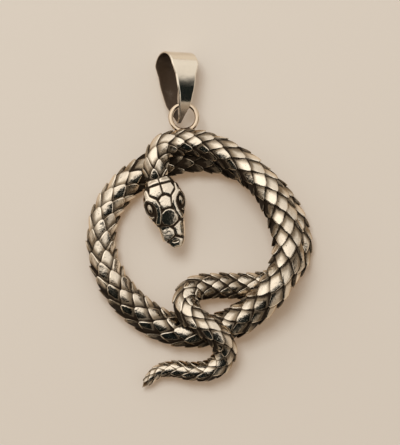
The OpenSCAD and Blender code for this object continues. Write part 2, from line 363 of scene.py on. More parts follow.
@dataclass(frozen=True)
class FloorPaper(Finish):
    """Pale warm paper that the pendant lies on. It glows a little, in place of the light that
    the metal throws back on it in the photograph."""

    name: str = "floor_paper"
    pale: Triple = (0.306, 0.319, 0.317)
    deep: Triple = (0.294, 0.306, 0.302)
    thrown_back: Triple = (0.215, 0.130, 0.068)
    rough: float = 0.85
    gloss: float = 0.2
    clouds: Grain = Grain(60.0, 2.0)
    fibres: Grain = Grain(0.5, 3.0, 0.6, 1.0)
    fibres_share: float = 0.3
    fibres_bump: Bump = Bump(0.01, 0.3)

    def sockets(self, sh: Shader) -> dict[str, object]:
        """Values and wires of the shader's sockets.

        Args:
            sh: shader to build in.

        Returns:
            The values and wires, by the sockets' names.
        """
        fibres = sh.grain(self.fibres)
        cloudy = sh.grain(self.clouds) * (1 - self.fibres_share) + fibres * self.fibres_share
        return {
            "Base Color": sh.mix(cloudy, self.pale, self.deep),
            "Roughness": self.rough,
            "Specular IOR Level": self.gloss,
            "Emission Color": (*self.thrown_back, 1.0),
            "Emission Strength": 1.0,
            "Normal": sh.bump(fibres, self.fibres_bump),
        }


# Surroundings, floor and camera


@dataclass(frozen=True)
class Surroundings:
    """Soft pale light from all round, with a dark gap on the side that faces the tail, as in a
    light tent with an open front. Places in it are given by the slope of the floor that would
    mirror them straight up, to the right and down the picture: 0 is overhead and 1 is on the
    horizon. The gap leans away to both sides and is half closed where it stands ajar, a dark card
    stands on the right, and the sky glows on the upper left."""

    sky: Triple = (1.16, 1.09, 1.00)
    low: Triple = (0.54, 0.455, 0.36)
    strength: float = 0.70
    horizon: Pair = (-0.12, 0.6)
    slant: float = 0.55
    dark: Triple = (0.012, 0.016, 0.015)
    gap_from: Pair = (0.05, 0.11)
    gap_lean_right: float = 3.0
    gap_lean_from: float = 0.22
    gap_lean_left: float = 0.34
    ajar: float = 0.75
    ajar_right: Pair = (0.14, 0.36)
    ajar_down: Pair = (0.34, 0.52)
    card_at: Pair = (0.69, 0.09)
    card_half: Pair = (0.14, 0.198)
    card_edge: Pair = (1.22, 0.78)
    glow: Triple = (0.74, 0.70, 0.64)
    glow_at: Pair = (-0.25, -0.22)
    glow_reach: Pair = (0.68, 0.05)
    least_height: float = 0.05

    def build(self) -> None:
        """Lights the scene from all round."""
        world = bpy.data.worlds.new("tent")
        world.use_nodes = True
        bpy.context.scene.world = world
        sh = Shader(world.node_tree)
        towards = sh.node("ShaderNodeTexCoord", output="Generated")
        x, y, z = (sh.node("ShaderNodeSeparateXYZ", None, {0: towards}, i) for i in range(3))
        over = (z + 1).at_least(self.least_height)
        right, down = x / over, -1 * (y / over)
        tent = sh.mix(sh.step(z + y * self.slant, *self.horizon), self.low, self.sky)
        far = ((right - self.glow_at[0]) ** 2 + (down - self.glow_at[1]) ** 2) ** 0.5
        tent = tent + sh.mix(sh.step(far, *self.glow_reach), (0.0, 0.0, 0.0), self.glow)
        lean = (right - self.gap_lean_from).at_least(0) * self.gap_lean_right
        lean = lean + (-1 * right).at_least(0) * self.gap_lean_left
        ajar = sh.step(right, *self.ajar_right) * sh.step(down, *self.ajar_down) * self.ajar
        shut = sh.step(down - lean, *self.gap_from) * (1 - ajar)
        off_x = (right - self.card_at[0]) / self.card_half[0]
        off_y = (down - self.card_at[1]) / self.card_half[1]
        card = sh.step(off_x**2 + off_y**2, *self.card_edge)
        colour = sh.mix(card, sh.mix(shut, tent, self.dark), self.dark)
        light = sh.node("ShaderNodeBackground", None, {"Color": colour, "Strength": self.strength})
        sh.finish(light, "ShaderNodeOutputWorld")


@dataclass(frozen=True)
class SoftBox:
    """A lamp with an even face, which lights the scene and isn't mirrored in the silver."""

    name: str = "key_lamp"
    at_mm: Triple = (-80.0, 190.0, 420.0)
    side_mm: float = 190.0
    watts: float = 2.1
    colour: Triple = (1.0, 0.96, 0.9)

    def build(self) -> None:
        """Hangs the lamp, turned to the middle of the floor."""
        lamp = bpy.data.lights.new(self.name, "AREA")
        lamp.shape = "SQUARE"
        lamp.size = self.side_mm * MM
        lamp.energy = self.watts
        lamp.color = self.colour
        holder = bpy.data.objects.new(self.name, lamp)
        bpy.context.scene.collection.objects.link(holder)
        holder.location = Vector(self.at_mm) * MM
        holder.visible_glossy = False
        holder.rotation_euler = (-holder.location).to_track_quat("-Z", "Y").to_euler()


@dataclass(frozen=True)
class Studio:
    """Floor, lamp and camera, as the photograph has them."""

    floor_mm: float = 3000.0
    camera_at_mm: Triple = (0.14, -0.33, 260.03)
    sensor_mm: float = 36.0
    pixels_high: int = 445
    focal_px: float = 1806.0
    seen_mm: Pair = (10.0, 10000.0)

    def build(self) -> None:
        """Builds all of it."""
        Surroundings().build()
        SoftBox().build()
        self.lay_floor()
        self.place_camera()
        bpy.context.scene.view_settings.view_transform = "Standard"
        LOG.info("studio: floor, lamp, camera")

    def lay_floor(self) -> None:
        """Lays the floor, which is no part of the pendant."""
        half = self.floor_mm / 2
        corners = np.array([[-half, -half, 0], [half, -half, 0], [half, half, 0], [-half, half, 0]])
        floor = add_mesh("floor", corners, [[0, 1, 2, 3]], {})
        floor.data.materials.append(FloorPaper().material())

    def place_camera(self) -> None:
        """Places the camera over the middle, looking straight down."""
        lens = bpy.data.cameras.new("camera")
        lens.sensor_width = self.sensor_mm
        lens.lens = self.sensor_mm * self.focal_px / self.pixels_high
        lens.clip_start, lens.clip_end = (distance * MM for distance in self.seen_mm)
        camera = bpy.data.objects.new("camera", lens)
        bpy.context.scene.collection.objects.link(camera)
        camera.location = Vector(self.camera_at_mm) * MM
        bpy.context.scene.camera = camera


# Mesh helpers


class SubAssembly:
    """A part of the pendant, which is built as meshes and dressed in its finishes."""

    node: ClassVar[Node] = Node.SNAKE
    slot: ClassVar[Slot] = Slot.OXIDISED

    def build(self) -> list[Piece]:
        """Builds the meshes."""
        raise NotImplementedError

    def dress(self, *finishes: bpy.types.Material) -> None:
        """Builds the pieces, gives each its finish and joins it to the construction model.

        Args:
            finishes: finish of each piece, in the order in which they are built.
        """
        for piece, finish in zip(self.build(), finishes, strict=True):
            piece.data.materials.append(finish)
            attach(piece, BODY)
            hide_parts(self.node.value)
            triangles = sum(len(p.vertices) - 2 for p in piece.data.polygons)
            LOG.info("%s: %d triangles", piece.name, triangles)


def add_mesh(name: str, points_mm: Array, faces: list, marks: dict) -> Piece:
    """Makes a smooth mesh piece.

    Args:
        name: the piece's name.
        points_mm: places of the points.
        faces: rows of point numbers.
        marks: values that each point carries, or one value for all of them, by name.

    Returns:
        The piece.
    """
    mesh = bpy.data.meshes.new(name)
    mesh.from_pydata((points_mm * MM).tolist(), [], faces)
    for key, values in marks.items():
        layer = mesh.attributes.new(key, "FLOAT", "POINT")
        layer.data.foreach_set("value", np.full(len(points_mm), values, dtype=np.float32))
    mesh.shade_smooth()
    mesh.update()
    piece = bpy.data.objects.new(name, mesh)
    bpy.context.scene.collection.objects.link(piece)
    return piece


def tube(rings: int, steps: int, looped: bool = False) -> list[list[int]]:
    """Faces of a tube whose points run round one ring after the other, seen from outside.

    Args:
        rings: number of rings.
        steps: number of points round each.
        looped: whether the last ring joins the first. If not, the tube runs to a point at both
            ends, and these two points come after all the rings.

    Returns:
        Point numbers of each face.
    """
    ring, step = np.meshgrid(np.arange(rings if looped else rings - 1), np.arange(steps), indexing="ij")
    here, after, beside = ring * steps, (ring + 1) % rings * steps, (step + 1) % steps
    faces = np.stack([here + step, here + beside, after + beside, after + step], -1).reshape(-1, 4).tolist()
    if not looped:
        last, end = (rings - 1) * steps, rings * steps
        pairs = [(step, (step + 1) % steps) for step in range(steps)]
        faces += [[end, beside, step] for step, beside in pairs]
        faces += [[end + 1, last + step, last + beside] for step, beside in pairs]
    return faces


def ball(rings: int, steps: int) -> Array:
    """Points of a ball of radius 1.

    Args:
        rings: number of rings, from its -X end to its +X end.
        steps: number of points round each.

    Returns:
        The points of all the rings, and then those of the two ends.
    """
    polar, around = np.linspace(0, math.pi, rings + 2)[1:-1], np.linspace(0, ROUND, steps, endpoint=False)
    polar, around = (grid.ravel() for grid in np.meshgrid(polar, around, indexing="ij"))
    rows = np.stack([-np.cos(polar), np.sin(polar) * np.cos(around), np.sin(polar) * np.sin(around)], 1)
    return np.vstack([rows, [[-1, 0, 0], [1, 0, 0]]])


def moved(points: Array, at: Array, turns: tuple[tuple[str, float], ...]) -> Array:
    """Turns points and moves them to their place in the frame.

    Args:
        points: places, one row each.
        at: where their origin goes, before the step to the frame's own origin.
        turns: axes and angles in degrees, with the last turn of the points first.

    Returns:
        The places in the frame.
    """
    matrix = Matrix.Identity(3)
    for axis, angle in turns:
        matrix = matrix @ Matrix.Rotation(math.radians(angle), 3, axis)
    return points @ np.array(matrix).T + at + ORIGIN_STEP


def ease(value: Array, low: float, high: float) -> Array:
    """0 at low, 1 at high, and a smooth change between the two."""
    t = np.clip((value - low) / (high - low), 0, 1)
    return t * t * (3 - 2 * t)


def rounded(value: Array, width: float) -> Array:
    """Quarter-round rise from 0 at value 0 to 1 at the width."""
    t = 1 - np.clip(value / width, 0, 1)
    return np.sqrt(1 - t * t)


def line_distance(points: Array, line: Array) -> Array:
    """Measures how far points are from a line of straight stretches.

    Args:
        points: places, in as many dimensions as the line.
        line: corners of the line.

    Returns:
        The distance of each point.
    """
    nearest = np.full(len(points), np.inf)
    for start, end in zip(line[:-1], line[1:]):
        run = end - start
        share = np.clip((points - start) @ run / (run @ run), 0, 1)
        nearest = np.minimum(nearest, np.linalg.norm(points - start - share[:, None] * run, axis=1))
    return nearest


def inside_by(points: Array, outline: Array) -> Array:
    """Measures how far points of a plan lie inside a closed outline.

    Args:
        points: places on the plan.
        outline: corners of the outline.

    Returns:
        The distance of each point from the outline, negative outside it.
    """
    inside = np.zeros(len(points), bool)
    for (x0, y0), (x1, y1) in zip(outline, np.roll(outline, -1, axis=0)):
        crosses = (y0 > points[:, 1]) != (y1 > points[:, 1])
        with np.errstate(divide="ignore", invalid="ignore"):
            at = x0 + (points[:, 1] - y0) * (x1 - x0) / (y1 - y0)
        inside ^= crosses & (points[:, 0] < at)
    nearest = line_distance(points, np.vstack([outline, outline[:1]]))
    return np.where(inside, nearest, -nearest)


class Curve:
    """A smooth curve through rows of values, measured by its length in the first columns."""

    probe: ClassVar[float] = 0.01

    def __init__(self, rows: Array, place_columns: int) -> None:
        """Works out lengths and rates.

        Args:
            rows: values at each station.
            place_columns: how many leading columns are a place.
        """
        self.rows = rows
        self.place_columns = place_columns
        span = np.linalg.norm(np.diff(rows[:, :place_columns], axis=0), axis=1)
        self.lengths = np.concatenate([[0.0], np.cumsum(span)])
        self.length = float(self.lengths[-1])
        slopes = np.diff(rows, axis=0) / span[:, None]
        before, after = span[:-1, None], span[1:, None]
        middle = (before * slopes[1:] + after * slopes[:-1]) / (before + after)
        self.rates = np.vstack([slopes[:1], middle, slopes[-1:]])

    def at(self, s: Array) -> Array:
        """Finds the curve's values.

        Args:
            s: lengths along it.

        Returns:
            A row of values for each length.
        """
        i = np.clip(np.searchsorted(self.lengths, s, side="right") - 1, 0, len(self.rows) - 2)
        h = self.lengths[i + 1] - self.lengths[i]
        t = ((s - self.lengths[i]) / h)[..., None]
        bend = (1 - t) * self.rates[i] - t * self.rates[i + 1]
        ends = (1 + 2 * t) * (1 - t) ** 2 * self.rows[i] + t * t * (3 - 2 * t) * self.rows[i + 1]
        return ends + h[..., None] * t * (1 - t) * bend

    def heading(self, s: Array) -> Array:
        """Finds the curve's direction.

        Args:
            s: lengths along it.

        Returns:
            A direction of length 1 for each.
        """
        run = self.at(np.minimum(s + self.probe, self.length)) - self.at(np.maximum(s - self.probe, 0))
        run = run[..., : self.place_columns]
        return run / np.linalg.norm(run, axis=-1, keepdims=True)


# The snake's body


class Station(NamedTuple):
    """A station of the body: plan position, height of the underside, diameter, turn of the
    pattern of scales in degrees, stretch of its rows and how deeply it is tarnished, which on the back turn
    is partly painted shade."""

    x: float
    y: float
    lift: float
    dia: float
    roll: float = 0.0
    stretch: float = 1.0
    tarnish: float = 0.0


# The plan's own origin lies one step away from the frame's. The scales stand out by the lip, a
# share of the diameter, over the body's mean surface.
COIL_MIDDLE = (0.0, -2.6)
ORIGIN_STEP = np.array([0.07, 0.06, 0.025])
SCALE_LIP = 0.045


def turn(bearing: float, radius: float, *rest: float, **named: float) -> Station:
    """Places a station of the coil.

    Args:
        bearing: bearing from the coil's middle, clockwise from the top, in degrees.
        radius: distance from the coil's middle.
        rest: the station's other values, in order.
        named: the same by name.

    Returns:
        The station.
    """
    angle = math.radians(bearing)
    x, y = COIL_MIDDLE[0] + radius * math.sin(angle), COIL_MIDDLE[1] + radius * math.cos(angle)
    return Station(x, y, *rest, **named)


NECK = (
    Station(-6.10, 4.60, 3.40, 3.05, -28),
    Station(-6.15, 6.80, 3.55, 3.10, -28),
    Station(-5.95, 8.90, 3.50, 3.10, -10),
    Station(-4.90, 10.35, 3.20, 3.10, 0),
    Station(-3.10, 10.90, 2.90, 3.10, 0),
)
TURNS = (
    turn(-5, 13.60, 2.85, 3.15, 0),
    turn(20, 12.45, 3.35, 3.30, 24, stretch=1.25),
    turn(48, 11.75, 3.60, 3.55, 36, stretch=0.94),
    turn(75, 12.00, 3.45, 3.80, 18, stretch=0.99),
    turn(98, 12.60, 3.45, 3.85, 3, stretch=1.03),
    turn(120, 12.65, 3.20, 3.85, 30, stretch=1.05),
    turn(145, 12.70, 1.70, 3.85, 36),
    turn(170, 13.20, 0.35, 3.85, 36),
    turn(195, 13.55, 0.00, 3.90, 36),
    turn(220, 13.55, 0.00, 3.90, 34),
    turn(245, 13.85, 0.00, 3.80, 18, tarnish=-0.06),
    turn(265, 14.05, 0.00, 3.60, 13, tarnish=-0.12),
    turn(285, 13.80, 0.00, 3.55, 0, tarnish=-0.12),
    turn(305, 13.00, 0.00, 3.65, -2, tarnish=-0.06),
    # Where the body passes inside and under the first turn and the neck, its deep tarnishing is partly
    # painted shade.
    turn(325, 12.20, 0.00, 3.70, 0, tarnish=0.5),
    turn(350, 11.60, 0.00, 3.60, 8, tarnish=0.7),
    turn(380, 11.60, 0.00, 3.55, 16, tarnish=0.72),
    turn(406, 11.95, 0.00, 3.55, 22, tarnish=0.35),
    turn(428, 12.85, 0.00, 3.55, 28),
    turn(445, 13.75, 0.00, 3.50, 32),
    turn(457, 14.15, 0.00, 3.45, 36),
    turn(466, 13.85, 0.00, 3.40, 36),
)
TAIL = (
    Station(11.90, -8.15, 0.00, 3.35, 36),
    Station(9.80, -9.10, 0.10, 3.25, 36),
    Station(6.50, -9.45, 0.20, 3.15, 36, tarnish=0.05),
    Station(1.80, -9.45, 0.40, 3.10, 36, tarnish=0.05),
    Station(-0.70, -9.85, 0.90, 3.15, 36),
    Station(-1.90, -11.20, 1.90, 3.20, 36),
    Station(-1.55, -13.00, 3.00, 3.05, 36),
    Station(0.20, -14.55, 3.75, 2.90, 36),
    Station(2.30, -16.10, 3.65, 2.85, 36),
    Station(3.55, -18.10, 2.20, 2.90, 36),
    Station(3.25, -20.00, 1.30, 2.85, 36, tarnish=-0.12),
    Station(1.60, -21.35, 1.00, 2.60, 36, tarnish=-0.2),
    Station(-0.90, -21.65, 0.90, 2.30, 36, tarnish=-0.25),
    Station(-3.90, -21.30, 0.80, 2.00, 36, tarnish=-0.25),
    Station(-5.90, -21.70, 0.70, 1.65, 36, tarnish=-0.25),
    Station(-7.10, -22.75, 0.70, 1.30, 36, tarnish=-0.25),
    Station(-8.20, -24.05, 0.75, 0.80, 36, tarnish=-0.25),
)


class Form(NamedTuple):
    """Form of the scales at each point: rise over the mean surface and step towards the tail, both
    in body diameters, how far the point is from the tucked front, where oxide and painted shade lie,
    and its shares of the gap at the rear, of the bulge that scales on the sides have and of the rim along
    the rear sides."""

    rise: Array
    ahead: Array
    from_tucked_front: Array
    gap: Array
    lifted: Array
    rim: Array


@dataclass
class ScaledBody(SubAssembly):
    """The long scaled body. Its surface is a lattice of lozenges: each is a plate that rises to
    its rear and drops into a groove there, over the front of the next ones."""

    name: str = "snake_body"
    scales_round: int = 5
    spacing: float = 0.83
    finest_dia: float = 1.75
    smooth_tip: float = 0.25
    ticks: tuple[float, ...] = (0, 0.03, 0.07, 0.13, 0.23, 0.38, 0.55, 0.72, 0.85, 0.93, 0.975, 1)
    seed: int = 4
    groove: float = -0.085
    front: float = -0.08
    rear: float = 0.062
    rise_power: float = 0.75
    flatness: float = 0.30
    uneven: float = 0.012
    sideways: float = 0.05
    front_round: float = 0.08
    rear_round: float = 0.06
    rounding: float = 13.0
    overhang: float = 0.085
    overhang_from: Pair = (0.45, 1.0)
    bulge: float = 0.065
    bulge_from: Pair = (0.4, 0.8)
    lifted_from: Pair = (0.3, 0.85)
    side_bulge: float = 0.085
    side_from: Pair = (0.25, 0.85)
    sunk: float = 0.05
    sunk_rows: Pair = (0.8, 1.9)
    # Reach of the dark front of each scale, under the tip of the one before: oxide and painted shade.
    shade: Pair = (0.38, 0.42)
    shade_front: float = 0.7
    side_shade: float = 0.3
    side_shade_from: Pair = (0.15, 0.8)
    tucked_to: Pair = (0.08, 1.0)
    gap_to: float = 0.055
    rim_from: Pair = (0.03, 0.07)
    rim_to: Pair = (0.1, 0.17)
    rubbed_rim: float = 0.62
    # Darker flanks, side that faces -Y and underside: oxide with painted shade, and painted dark reflections
    # on the -Y side.
    flank: Pair = (0.28, 1.0)
    flank_patina_and_shade: float = 0.14
    shaded_side: Triple = (-0.42, -0.9, 0.0)
    shaded_from: Pair = (0.3, 0.75)
    painted_side_shade: float = 0.2
    under: Pair = (0.12, 0.42)
    under_patina_and_shade: float = 0.72
    darkest_face: float = 0.76
    flank_darker: float = 0.15
    flank_darker_from: Pair = (0.5, 0.9)
    end_patina: Pair = (1.0, 0.2)
    end_tone: Pair = (0.5, 0.5)
    curve: Curve = field(init=False)
    half_rows: Array = field(init=False)

    def __post_init__(self) -> None:
        """Lays the body's curve and its half rows of scales."""
        middles = [
            (s.x, s.y, s.lift + s.dia * (0.5 + SCALE_LIP), s.dia, math.radians(s.roll), s.stretch, s.tarnish)
            for s in (*NECK, *TURNS, *TAIL)
        ]
        self.curve = Curve(np.array(middles), 3)
        rows, s = [], 0.0
        while s < self.curve.length - self.smooth_tip:
            rows.append(s)
            dia, _, stretch, _ = self.curve.at(np.array(s))[3:]
            s += self.spacing / 2 * max(float(dia), self.finest_dia) * float(stretch)
        self.half_rows = np.array(rows)

    def values(self, row: Array) -> Array:
        """Length, diameter, turn of the pattern, stretch, and depth of tarnishing with painted shade, at
        half rows from the head.
        """
        s = np.interp(row, np.arange(len(self.half_rows)), self.half_rows)
        return np.vstack([s, self.curve.at(s)[:, 3:].T])

    def skin(self, row: Array, angle: Array, rise: Array, ahead: Array) -> tuple[Array, Array]:
        """Places of points on the skin.

        Args:
            row: half rows from the head, with fractions.
            angle: angle round the body from its top, in the lattice.
            rise: height over the mean surface, in body diameters.
            ahead: step towards the tail, in body diameters.

        Returns:
            The points, and the directions outwards there.
        """
        s, dia, roll, _, _ = self.values(row)
        turned = angle + roll
        s = np.clip(s + dia * ahead, 0, self.curve.length)
        here = self.curve.at(s)
        forward = self.curve.heading(s)
        left = np.cross(UP, forward)
        left /= np.linalg.norm(left, axis=1, keepdims=True)
        out = np.cos(turned)[:, None] * np.cross(forward, left) + np.sin(turned)[:, None] * left
        return here[:, :3] + here[:, 3:4] * (0.5 + rise)[:, None] * out + ORIGIN_STEP, out

    def relief(self, u: Array, v: Array, chance: Array) -> Form:
        """Form of one lozenge.

        Args:
            u: place between two of its sides, 0 at a front one.
            v: place between the other two, 0 at a front one.
            chance: random numbers of each scale.

        Returns:
            The form at those places.
        """
        along, across, from_front = (u + v) / 2, u - v, np.minimum(u, v)
        from_rear = 1 - (u**self.rounding + v**self.rounding) ** (1 / self.rounding)
        tilt = self.rear - self.front - self.uneven * chance[..., 0]
        plate = self.front + tilt * np.clip(along, 0, 1) ** self.rise_power
        plate = plate + self.flatness / 2 * (1 / np.cos(across * math.pi / self.scales_round) - 1)
        plate = plate + self.sideways * (chance[..., 1] - 0.5) * across
        edge = rounded(from_front, self.front_round) * rounded(from_rear, self.rear_round)
        bulge = self.bulge * 4 * from_front * (1 - from_front)
        ahead = self.overhang * ease(along, *self.overhang_from) + bulge * ease(along, *self.bulge_from)
        from_tucked_front = self.shade_front * from_front + (1 - self.shade_front) * along
        return Form(
            rise=self.groove + (plate - self.groove) * edge,
            ahead=ahead * edge,
            from_tucked_front=from_tucked_front / (self.shade[0] + self.shade[1] * chance[..., 2]),
            gap=1 - ease(from_rear, 0.0, self.gap_to),
            lifted=ease(along, *self.lifted_from) * edge,
            rim=ease(from_rear, *self.rim_from) * (1 - ease(from_rear, *self.rim_to)),
        )

    def patina(self, form: Form, tarnish: Array, down: Array, out: Array) -> Array:
        """Depth of the dark patina: oxide with painted shade under the scales and on the flanks, and painted
        shade with painted dark reflections on the shaded side and underneath.

        Args:
            form: form of the scales at each point.
            tarnish: how deeply the body is tarnished there, partly painted shade.
            down: how far the point faces down, from 0 on top to 2 underneath.
            out: directions outwards.

        Returns:
            Patina from 0 to 1.
        """
        # Dark front of each scale where the one before overlaps it: oxide and painted shade, wider on the
        # flanks.
        shade = 1 + self.side_shade * ease(down, *self.side_shade_from)
        tucked = 1 - ease(form.from_tucked_front / shade, *self.tucked_to)
        # Painted shade and painted dark reflections on the side that faces -Y and underneath, and oxide with
        # painted shade on the flanks, held below a cap.
        under = self.painted_side_shade + self.under_patina_and_shade * ease(down, *self.under)
        face = tarnish + self.flank_patina_and_shade * ease(down, *self.flank)
        face = face + ease(out @ self.shaded_side, *self.shaded_from) * under
        darkest = self.darkest_face + self.flank_darker * ease(down, *self.flank_darker_from)
        face = np.minimum(face, darkest) * (1 - self.rubbed_rim * form.rim)
        return np.clip(np.maximum(tucked, form.gap) + face, 0, 1)

    def lattice(self) -> tuple[Array, Array, Array, Array, Array]:
        """Lays a grid of points on each scale.

        Returns:
            For each point the half row of its scale, the scale's place round the body, the point's
            places between the scale's sides, and a number that is the same for points of two
            scales that lie in one place.
        """
        n, last = len(self.ticks) - 1, len(self.half_rows) - 1
        tick = np.arange(n + 1)
        i, j, a, b = np.meshgrid(np.arange(1, last), np.arange(self.scales_round), tick, tick, indexing="ij")
        k = 2 * j + i % 2
        steps_round = 2 * self.scales_round * n
        key = (i * n + a + b) * steps_round + (k * n + a - b) % steps_round
        return i, k, np.array(self.ticks)[a], np.array(self.ticks)[b], key

    def build(self) -> list[Piece]:
        """Builds the body's mesh, with its patina, which holds painted shade too, and the tone of each
        scale.

        Returns:
            The body.
        """
        i, k, u, v, key = self.lattice()
        _, first, number = np.unique(key.ravel(), return_index=True, return_inverse=True)
        # Each scale draws its tilt, lean, reach of its dark front of oxide and painted shade, and tone
        rng = np.random.default_rng(self.seed)
        chance = rng.random((*i.shape[:2], 4))[:, :, None, None, :]
        angle = (k + u - v) * (math.pi / self.scales_round)
        tone = np.broadcast_to(chance[..., 3], i.shape)
        fields = (i - 1 + u + v, angle, tone, *self.relief(u, v, chance))
        row, angle, tone, *form = (np.ravel(values)[first] for values in fields)
        form = Form(*form)
        _, _, roll, _, tarnish = self.values(row)
        facing = np.cos(angle + roll)
        rise = form.rise + self.side_bulge * form.lifted * ease(1 - np.abs(facing), *self.side_from)
        rise = rise - self.sunk * (1 - ease(row, *self.sunk_rows))
        points, out = self.skin(row, angle, rise, form.ahead)
        patina = self.patina(form, tarnish, 1 - facing, out)
        number = number.reshape(i.shape)
        low, high = number[:, :, :-1], number[:, :, 1:]
        corners = [low[..., :-1], low[..., 1:], high[..., 1:], high[..., :-1]]
        quads = np.stack(corners, axis=-1).reshape(-1, 4)
        faces = quads.tolist() + self.caps(quads, row)
        ends = [self.curve.at(np.array(s))[:3] + ORIGIN_STEP for s in (0.0, self.curve.length)]
        marks = {PATINA_AND_SHADE: np.append(patina, self.end_patina), TONE: np.append(tone, self.end_tone)}
        return [add_mesh(self.name, np.vstack([points, ends]), faces, marks)]

    def caps(self, quads: Array, row: Array) -> list[list[int]]:
        """Closes both ends of the body on the two end points, which come after all the others.

        Args:
            quads: faces of the body.
            row: half row of each of its points.

        Returns:
            Three point numbers of each triangle.
        """
        starts, ends, count = quads.ravel(), np.roll(quads, -1, axis=1).ravel(), len(row)
        lone = ~np.isin(starts * count + ends, ends * count + starts)
        middle = row.max() / 2
        return [[int(e), int(s), count + int(row[s] > middle)] for s, e in zip(starts[lone], ends[lone])]


# The snake's head


@dataclass(frozen=True)
class Plate:
    """A raised plate of the head's top, by its outline on the plan."""

    outline: tuple[Pair, ...]
    mirrored: bool = True
    height: float = 0.18
    least_height: float = 0.04
    edge: float = 0.2
    dull: float = 0.0
    tilt: Pair = (0.0, 0.0)

    def outlines(self) -> list[Array]:
        """The outline, and its mirror image where there is one."""
        points = np.array(self.outline)
        return [points, points * [1, -1]] if self.mirrored else [points]

    def top(self, points: Array, outline: Array) -> Array:
        """Height of its tilted top over the head's smooth form."""
        return np.maximum(self.height + (points - outline.mean(axis=0)) @ self.tilt, self.least_height)


# Outlines of the plates on the plan
PARIETAL = ((0.35, 0.15), (0.42, 1.5), (1.25, 1.8), (2.0, 0.98), (1.52, 0.15))
MIDDLE = ((2.0, -0.3), (2.0, 0.3), (2.45, 0.8), (3.62, 0.66), (3.62, -0.66), (2.45, -0.8))
FRONTAL_HALF = ((3.92, 0.3), (4.3, 0.85), (5.25, 1.2), (5.85, 1.0), (6.28, 0.2))
FRONTAL = ((3.92, -0.3), *FRONTAL_HALF, *((x, -y) for x, y in FRONTAL_HALF[:0:-1]))
SNOUT_LEFT = (
    (6.24, -1.49), (6.4, -0.61), (7.06, 0.02), (7.7, 0.02), (8.3, -0.96), (8.3, -2.2), (6.71, -2.2)
)
SNOUT_RIGHT = ((6.7, 0.27), (6.08, 1.29), (6.4, 2.2), (7.84, 2.2), (8.4, 2.2), (8.4, 1.2), (7.75, 0.27))
NOSE = ((8.16, 0.0), (8.75, 1.05), (9.3, 1.3), (9.8, 0.8), (9.8, -0.8), (9.3, -1.3), (8.7, -1.1))
COLLAR = ((-0.5, 0.12), (-0.72, 0.5), (-0.72, 1.0), (-0.45, 1.5), (0.12, 1.62), (0.02, 0.9), (-0.02, 0.12))


class Carving:
    """Relief that is laid on the head's smooth form: its height and its share of bare metal."""

    def __init__(self, points: Array) -> None:
        """Starts without relief on these points."""
        self.points = points
        self.height = self.bare = np.zeros(len(points))

    def lay(self, height: Array, bare: Array) -> None:
        """Lays a raised form over the relief."""
        self.height = np.maximum(self.height, height)
        self.bare = np.maximum(self.bare, bare)

    def cut(self, share: Array, depth: float) -> None:
        """Cuts a hollow of this depth, which is dark inside."""
        self.height = self.height - depth * share
        self.bare = self.bare * (1 - share)


